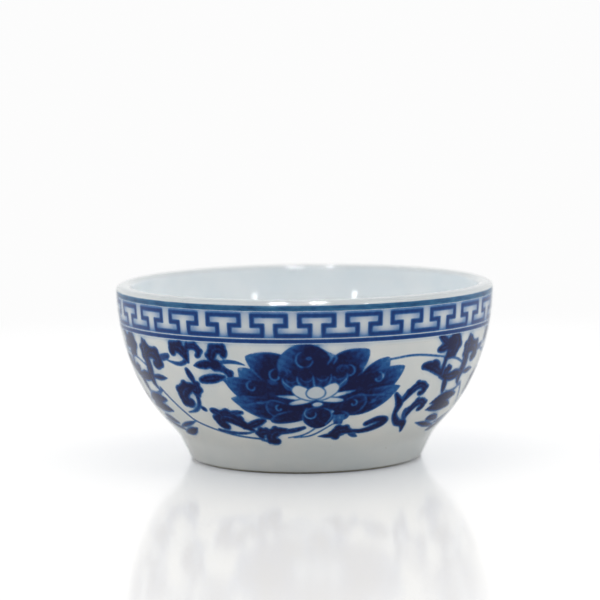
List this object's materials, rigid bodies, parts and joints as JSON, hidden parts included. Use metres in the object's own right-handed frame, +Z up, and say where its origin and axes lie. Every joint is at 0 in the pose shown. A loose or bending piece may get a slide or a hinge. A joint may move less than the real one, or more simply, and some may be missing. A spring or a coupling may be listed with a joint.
{
  "type": "handleless teacup",
  "caption": "Small handleless porcelain teacup: flared foot, rounded bowl, glazed lip, fret border and lotus scroll in cobalt blue.",
  "frame": {"origin": "centre of the foot ring, on the plane the cup stands on", "axes": "+Z up along the cup's axis; -Y towards the front of the decoration"},
  "size_m": [0.0804, 0.0804, 0.0375],
  "materials": {
    "fired_clay": "matt, unglazed",
    "white_glaze": "high gloss",
    "foot_glaze": "gloss",
    "rim_blue": "gloss, brushed line",
    "fret_blue": "gloss print",
    "lotus_blue": "gloss print, shaded",
    "stem_blue": "gloss print"
  },
  "bodies": {
    "root": {"porcelain_body": "fired_clay", "glaze_coat": "white_glaze", "base_glaze": "foot_glaze", "rim_line_print": "rim_blue", "fret_border_print": "fret_blue", "border_line_print": "fret_blue", "lotus_flower_print_front": "lotus_blue", "lotus_flower_print_right": "lotus_blue", "lotus_flower_print_left": "lotus_blue", "leafy_stem_print_front": "stem_blue", "leafy_stem_print_right": "stem_blue", "leafy_stem_print_left": "stem_blue"}
  },
  "joints": []
}
